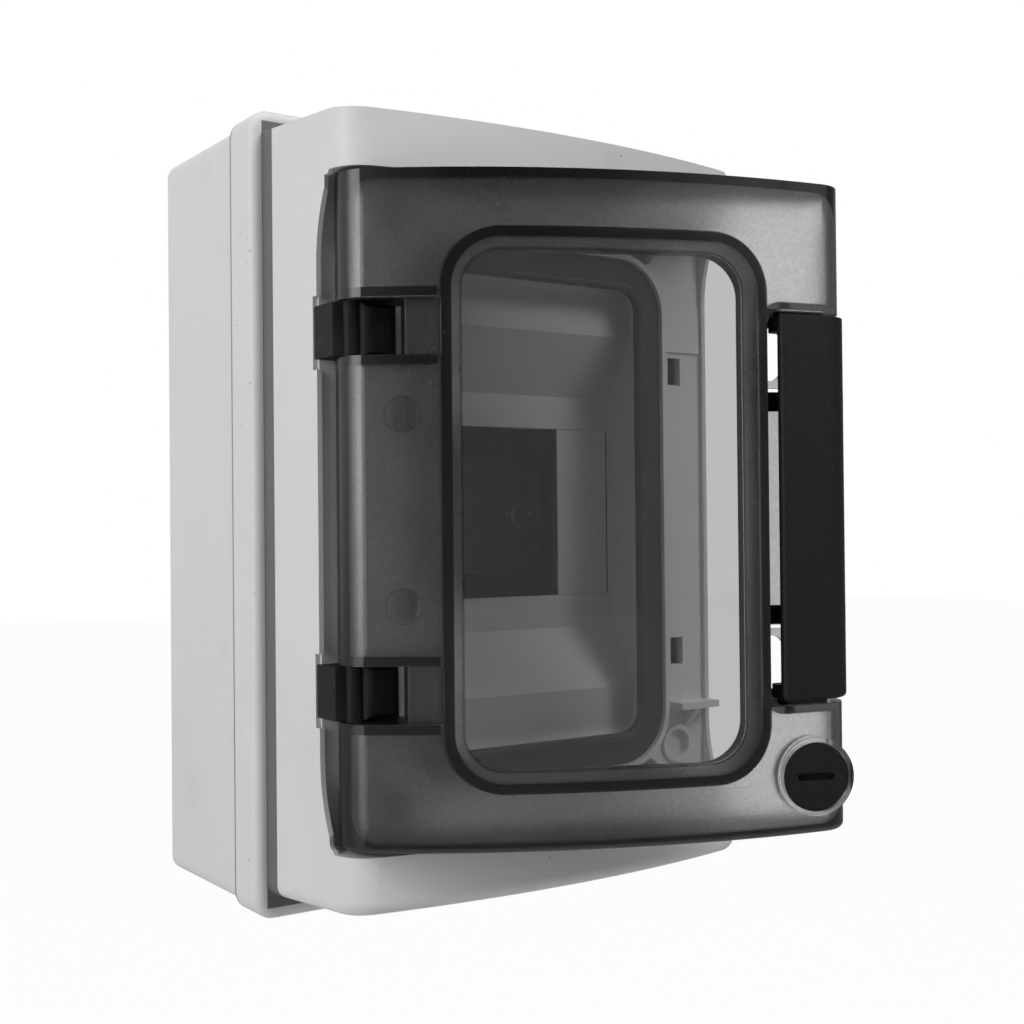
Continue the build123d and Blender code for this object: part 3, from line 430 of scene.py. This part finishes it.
# On the bowed faces the reflections follow the true curve and not the flat facets of the mesh.
nearly_on_bow = 0.985
outward = add(tree, "ShaderNodeCombineXYZ", X=across, Y=calc(tree, "MULTIPLY", bow, -1.0))
outward = add(
    tree, "ShaderNodeVectorRotate", {"rotation_type": "Z_AXIS"}, Vector=outward.outputs[0], Angle=-ajar
)
outward = add(tree, "ShaderNodeVectorMath", {"operation": "NORMALIZE"}, Vector=outward.outputs[0])
to_world = {"vector_type": "NORMAL", "convert_from": "OBJECT", "convert_to": "WORLD"}
outward = add(tree, "ShaderNodeVectorTransform", to_world, Vector=outward.outputs[0]).outputs[0]
face = add(tree, "ShaderNodeNewGeometry").outputs["Normal"]
agreement = add(tree, "ShaderNodeVectorMath", {"operation": "DOT_PRODUCT"})
fill_in(tree, agreement, (0, 1), (outward, face))
agreement = agreement.outputs["Value"]
same_side = calc(tree, "SIGN", agreement)
curved = add(tree, "ShaderNodeVectorMath", {"operation": "SCALE"}, Vector=outward, Scale=same_side).outputs[0]
on_bow = calc(tree, "GREATER_THAN", calc(tree, "ABSOLUTE", agreement), nearly_on_bow)
trued = add(tree, "ShaderNodeMix", {"data_type": "VECTOR"})
fill_in(tree, trued, (0, 4, 5), (on_bow, face, curved))
tree.links.new(trued.outputs[1], skin_bump.inputs["Normal"])

# Light from the lamps goes through the thin wall as a plain tint, and hardly through what is dark.
wall_passes = grey(0.68)
dark_passes = grey(0.1)
lamp_ray = add(tree, "ShaderNodeLightPath").outputs["Is Shadow Ray"]
let_through = add(tree, "ShaderNodeBsdfTransparent", Color=blend_colour(tree, dark, wall_passes, dark_passes))
mixed = add(tree, "ShaderNodeMixShader", Fac=lamp_ray)
fill_in(tree, mixed, (1, 2), (shader.outputs[0], let_through.outputs[0]))
tree.links.new(mixed.outputs[0], out.inputs["Surface"])
clad(smoked, "door_shell")

# ---------------------------------------------------------------- black fittings
# Latch handle, hooks, hinge bearings, pins, lock cap and its spring clip are glass-filled nylon,
# dyed through, with a coarse matt texture that catches pin-points of light.
black_nylon, tree, colour, skin_out, toned = moulding(
    "black_nylon", (1700.0, 45.0, 95.0), (grey(0.006), grey(0.013)), (0.62, 0.48), 0.12, 0.7,
    IOR=1.53, Specular_IOR_Level=0.28,
)
worn = blend_colour(tree, calc(tree, "MULTIPLY", skin_out["Rub"], 0.5), toned, grey(0.022))
dusted = blend_colour(tree, skin_out["Speck"], worn, grey(0.16))
pitted = blend_colour(tree, between(tree, skin_out["Height"], 0.72, 1.05), grey(0.004), dusted)
tree.links.new(pitted, colour)
clad(black_nylon, "latch_handle", "latch_hook_upper", "latch_hook_lower", "lock_cap", "lock_clip")
clad(black_nylon, "latch_pin_upper", "latch_pin_lower", "hinge_pin_upper", "hinge_pin_lower")
clad(black_nylon, "hinge_bearing_upper", "hinge_bearing_lower")

# ---------------------------------------------------------------- seals
# The door seals on a soft black rubber frame that lies in the dish's rim; a thinner cord
# of the same rubber sits in the joint between tub and cover.
rubber, tree, colour, skin_out, toned = moulding(
    "seal_rubber", (1500.0, 70.0, 120.0), (grey(0.018), grey(0.035)), (0.42, 0.62), 0.08, 0.5, IOR=1.5
)
bloom = blend_colour(tree, calc(tree, "MULTIPLY", skin_out["Rub"], 0.6), toned, grey(0.075))
tree.links.new(bloom, colour)
clad(rubber, "door_gasket", "base_gasket")


# ---------------------------------------------------------------- metal parts
# The screws are zinc-plated steel, the top-hat rail is rolled from passivated strip, and the
# terminal bars are drawn brass, clamped by steel screws.
def metal(name, light, shade, rough, drawn_along):
    """A metal with the fine lines of rolling or drawing, and a patchy dull bloom."""
    line_scale = 2400.0
    line_relief = 0.02
    material, tree, shader, _ = new_material(name, Metallic=1.0)
    stretch = add(tree, "ShaderNodeMapping", Vector=object_place(tree), Scale=drawn_along).outputs[0]
    lines = add(tree, "ShaderNodeTexNoise", Vector=stretch, Scale=line_scale, Detail=3.0).outputs[0]
    skin_out = with_skin(tree, 2600.0, 120.0, 160.0)
    toned = blend_colour(tree, skin_out["Cloud"], shade, light)
    lined = blend_colour(tree, calc(tree, "MULTIPLY", lines, 0.4), toned, shade)
    tree.links.new(lined, shader.inputs["Base Color"])
    tree.links.new(between(tree, lines, 0.2, 0.8, rough, rough + 0.14), shader.inputs["Roughness"])
    bump(tree, shader, lines, line_relief * mm, 0.5)
    return material


no_draw = (1, 1, 1)
drawn_lengthwise = (0.03, 1, 1)
plated_steel = metal("plated_steel", (0.62, 0.62, 0.61, 1), (0.40, 0.40, 0.40, 1), 0.28, no_draw)
rolled_zinc = metal("rolled_zinc", (0.66, 0.66, 0.64, 1), (0.48, 0.48, 0.47, 1), 0.34, drawn_lengthwise)
drawn_brass = metal("drawn_brass", (0.80, 0.60, 0.27, 1), (0.55, 0.40, 0.17, 1), 0.24, drawn_lengthwise)
clad(plated_steel, "cover_screws", "rail_screws", "carrier_screws", "terminal_screws", "hinge_screws")
clad(rolled_zinc, "din_rail")
clad(drawn_brass, "terminal_bar_positive", "terminal_bar_negative", "terminal_bar_earth")


# ---------------------------------------------------------------- floor and light
# The box stands off a very pale paper floor and backdrop, which show near white and light it only
# a little. The light comes from three soft lamps: beside the hinge, overhead, and high in front.
def first_look(tree):
    """1 where the studio is seen straight on or through glass, not where it only lights the box."""
    path = add(tree, "ShaderNodeLightPath").outputs
    straight = calc(tree, "MAXIMUM", path["Is Camera Ray"], path["Is Transmission Ray"])
    return calc(tree, "MULTIPLY", straight, calc(tree, "LESS_THAN", path["Diffuse Depth"], 0.5))


floor_reach = 9.0
floor_height = -0.6
shown_white = 0.97
floor_corners = [
    (side_x * floor_reach, side_y * floor_reach, floor_height)
    for side_x, side_y in ((-1, -1), (1, -1), (1, 1), (-1, 1))
]
floor_mesh = bpy.data.meshes.new("floor")
floor_mesh.from_pydata(floor_corners, [], [(0, 1, 2, 3)])
floor = bpy.data.objects.new("floor", floor_mesh)
bpy.context.scene.collection.objects.link(floor)
paper, tree, shader, out = new_material("pale_floor", Roughness=0.9)
slow = add(tree, "ShaderNodeTexNoise", Scale=3.0, Detail=4.0)
tree.links.new(blend_colour(tree, slow.outputs[0], grey(0.60), grey(0.64)), shader.inputs["Base Color"])
glow = add(tree, "ShaderNodeEmission", Color=grey(1.0), Strength=1.0)
lit = add(tree, "ShaderNodeMixShader", Fac=calc(tree, "MULTIPLY", first_look(tree), shown_white))
fill_in(tree, lit, (1, 2), (shader.outputs[0], glow.outputs[0]))
tree.links.new(lit.outputs[0], out.inputs["Surface"])
floor_mesh.materials.append(paper)

front_fill_low, front_fill_high = 0.10, 0.02
back_fill = 0.60
world = bpy.data.worlds.new("studio")
bpy.context.scene.world = world
world.use_nodes = True
tree = world.node_tree
tree.nodes.clear()
facing = add(tree, "ShaderNodeTexCoord").outputs["Generated"]
facing = add(tree, "ShaderNodeSeparateXYZ", Vector=facing).outputs
front_fill = between(tree, facing["Z"], 0.0, 0.5, front_fill_low, front_fill_high)
fill = calc(tree, "ADD", front_fill, between(tree, facing["Y"], -0.2, 0.6, 0.0, back_fill))
strength = calc(tree, "MAXIMUM", fill, first_look(tree))
sky = add(tree, "ShaderNodeBackground", Color=grey(1.0), Strength=strength)
tree.links.new(sky.outputs[0], add(tree, "ShaderNodeOutputWorld").inputs["Surface"])


def soft_lamp(name, place, target, size, power):
    """A square lamp facing a point."""
    data = bpy.data.lights.new(name, "AREA")
    data.shape = "SQUARE"
    data.size = size
    data.energy = power
    lamp = bpy.data.objects.new(name, data)
    lamp.location = place
    lamp.rotation_euler = (Vector(target) - Vector(place)).to_track_quat("-Z", "Y").to_euler()
    bpy.context.scene.collection.objects.link(lamp)


box_middle = (0.0, -0.06, 0.0)
soft_lamp("hinge_side_lamp", (-1.35, -0.25, 0.35), box_middle, size=1.0, power=13.4)
soft_lamp("top_lamp", (0.1, -0.45, 1.3), box_middle, size=0.9, power=9.5)
soft_lamp("front_lamp", (0.55, -1.15, 0.95), box_middle, size=0.7, power=11.0)

view = bpy.context.scene.view_settings
view.view_transform = "Standard"
view.look = "None"
